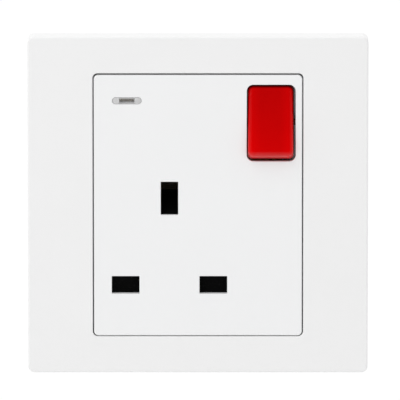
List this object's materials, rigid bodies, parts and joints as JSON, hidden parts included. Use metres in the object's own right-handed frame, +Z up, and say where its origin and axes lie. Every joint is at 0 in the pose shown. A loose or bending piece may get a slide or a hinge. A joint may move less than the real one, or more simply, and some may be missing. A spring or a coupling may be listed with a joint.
{
  "type": "switched wall socket",
  "caption": "Flush wall socket for a plug with flat pins, with rocker switch, neon window, shuttered pin slots and a square front frame that clips over its yoke.",
  "frame": {"origin": "on the wall plane, halfway between the two fixing slots of the yoke", "axes": "+X to the right seen from the room, +Y into the wall, +Z up"},
  "size_m": [0.086, 0.0273, 0.086],
  "materials": {
    "frame_plastic": "fine satin gloss moulding",
    "cover_plastic": "fine satin gloss moulding",
    "housing_plastic": "matt moulding",
    "rocker_plastic": "gloss moulding",
    "black_plastic": "matt moulding",
    "plunger_nylon": "natural moulding",
    "plated_steel": "zinc plated sheet",
    "zinc_screw": "zinc plated",
    "spring_steel": "bright wire",
    "contact_brass": "pressed strip",
    "terminal_brass": "machined",
    "contact_silver": "burnished",
    "tinned_wire": "tinned",
    "resistor_coat": "lacquered",
    "clear_lens": "clear moulding",
    "lamp_glass": "clear glass tube"
  },
  "bodies": {
    "housing": {"front_frame": "frame_plastic", "mounting_yoke": "plated_steel", "socket_cover": "cover_plastic", "indicator_lens": "clear_lens", "neon_lamp": "lamp_glass", "neon_resistor": "resistor_coat", "neon_leads": "tinned_wire", "fixed_contact_rivet": "contact_silver", "fulcrum_bracket": "contact_brass", "live_socket_contact": "contact_brass", "neutral_socket_contact": "contact_brass", "earth_socket_contact": "contact_brass", "live_terminal_block": "terminal_brass", "neutral_terminal_block": "terminal_brass", "earth_terminal_block": "terminal_brass", "terminal_screws": "zinc_screw", "shutter_spring": "spring_steel", "inner_carrier": "black_plastic", "rear_housing": "housing_plastic", "assembly_screws": "zinc_screw"},
    "rocker": {"rocker": "rocker_plastic", "rocker_spring": "spring_steel"},
    "plunger": {"plunger": "plunger_nylon"},
    "moving_contact": {"moving_contact": "contact_brass", "moving_contact_rivet": "contact_silver"},
    "shutter": {"shutter": "black_plastic"}
  },
  "joints": [
    {"name": "rocker_tilt", "type": "hinge", "parent": "housing", "child": "rocker", "pos_m": [0.01835, -0.0038, 0.021], "axis": [1, 0, 0], "range_deg": [0, 16]},
    {"name": "plunger_slide", "type": "slide", "parent": "rocker", "child": "plunger", "axis": [0, 0.9903, -0.1392], "range_m": [0, 0.00035], "stiffness_N_per_m": 100},
    {"name": "contact_tilt", "type": "hinge", "parent": "housing", "child": "moving_contact", "pos_m": [0.01835, 0.0056, 0.021], "axis": [1, 0, 0], "range_deg": [-22, 0]},
    {"name": "shutter_slide", "type": "slide", "parent": "housing", "child": "shutter", "axis": [0, 0, -1], "range_m": [0, 0.005], "stiffness_N_per_m": 60, "springref_m": -0.003, "deforming": ["shutter_spring"]}
  ],
  "couplings": [
    {"joint": "contact_tilt", "follows": "rocker_tilt", "ratio": -1.375}
  ]
}
